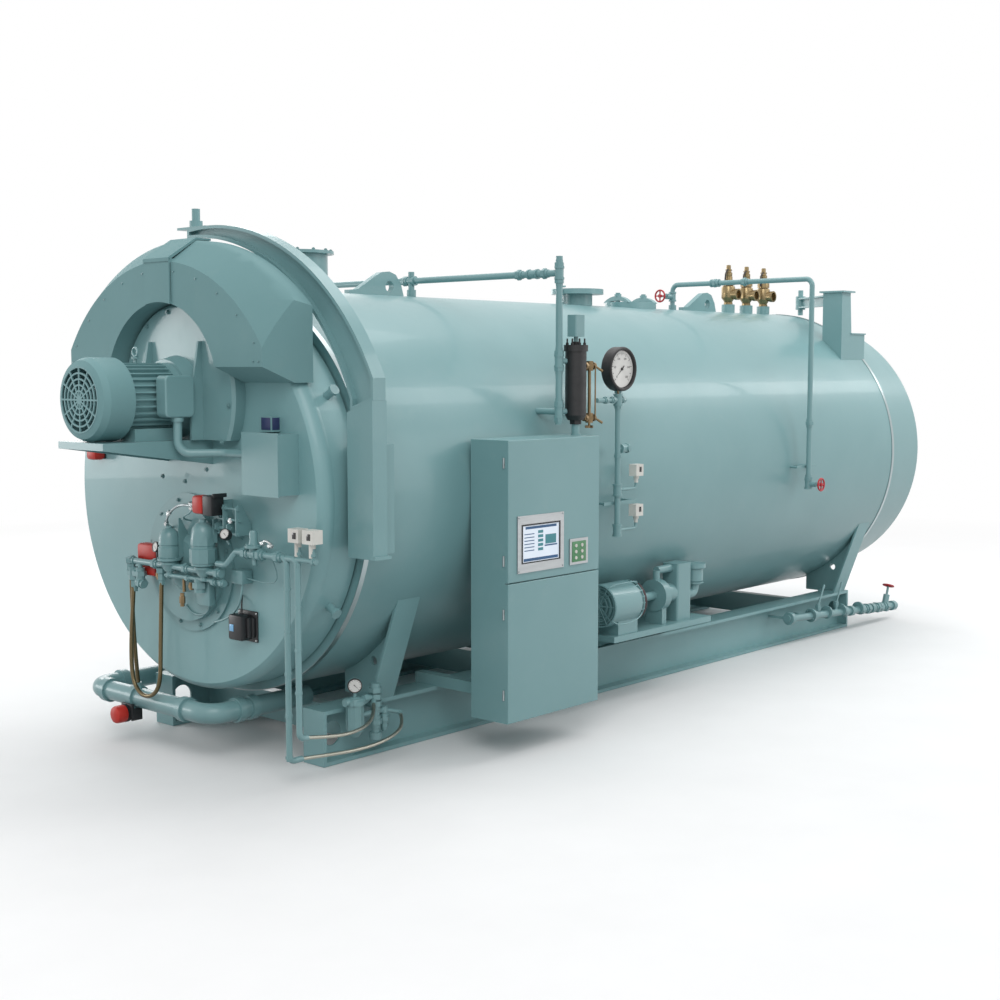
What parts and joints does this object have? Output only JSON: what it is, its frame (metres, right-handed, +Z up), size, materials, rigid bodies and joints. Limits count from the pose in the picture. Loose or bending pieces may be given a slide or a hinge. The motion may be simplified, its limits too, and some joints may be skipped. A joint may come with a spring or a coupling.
{
  "type": "industrial boiler",
  "caption": "Packaged fire-tube steam boiler on a skid, with burner and blower on the front door, control cabinet, water column, gauge and safety valves.",
  "frame": {"origin": "centre of the four anchor holes, on the floor under the skid", "axes": "+X along the boiler from the burner door to the rear door, +Y away from the control cabinet, +Z up"},
  "size_m": [6.7496, 2.4432, 2.779],
  "materials": {
    "body_paint": "semi-gloss blue-green enamel",
    "bright_band": "bright strip",
    "bronze_braid": "bronze braid",
    "steel_braid": "bright steel braid",
    "red_cap": "red",
    "black_plastic": "black",
    "white_plastic": "off-white",
    "bezel_steel": "brushed",
    "black_iron": "black enamel",
    "brass_fitting": "worn brass",
    "bronze_casting": "cast bronze"
  },
  "bodies": {
    "root": {"air_hood": "body_paint", "blowdown_line": "body_paint", "burner_actuators": "red_cap", "burner_linkage": "body_paint", "burner_pipework": "body_paint", "burner_plate": "body_paint", "burner_valves": "body_paint", "cabinet_arms": "body_paint", "cabinet_screen": "bezel_steel", "column_switch": "body_paint", "control_cabinet": "body_paint", "cross_members": "body_paint", "davit_column": "body_paint", "door_lugs": "body_paint", "door_switches": "white_plastic", "end_bands": "bright_band", "equalizing_pipe": "body_paint", "fan_housing": "body_paint", "flame_safeguard_box": "black_plastic", "front_davit": "body_paint", "front_door": "body_paint", "front_vent": "body_paint", "gas_header": "body_paint", "gauge_glass": "brass_fitting", "handwheels": "red_cap", "header_actuator": "red_cap", "junction_box": "body_paint", "lifting_lugs": "body_paint", "loop_hose": "bronze_braid", "lower_hose": "steel_braid", "manway": "body_paint", "motor_body": "body_paint", "motor_conduit": "body_paint", "motor_cowl": "body_paint", "motor_shelf": "body_paint", "motor_terminal_box": "body_paint", "pressure_header": "body_paint", "pressure_switches": "white_plastic", "pump_base": "body_paint", "pump_body": "body_paint", "pump_motor": "body_paint", "rear_davit": "body_paint", "rear_davit_arm": "body_paint", "rear_door": "body_paint", "regulator_set": "body_paint", "saddle_front": "body_paint", "saddle_rear": "body_paint", "safety_couplings": "body_paint", "safety_valve_front": "bronze_casting", "safety_valve_middle": "bronze_casting", "safety_valve_rear": "bronze_casting", "shell_jacket": "body_paint", "skid_rail_far": "body_paint", "skid_rail_near": "body_paint", "steam_gauge": "black_iron", "steam_nozzle": "body_paint", "supply_hose": "bronze_braid", "upper_hose": "steel_braid", "vent_pipe": "body_paint", "water_column": "black_iron"}
  },
  "joints": []
}
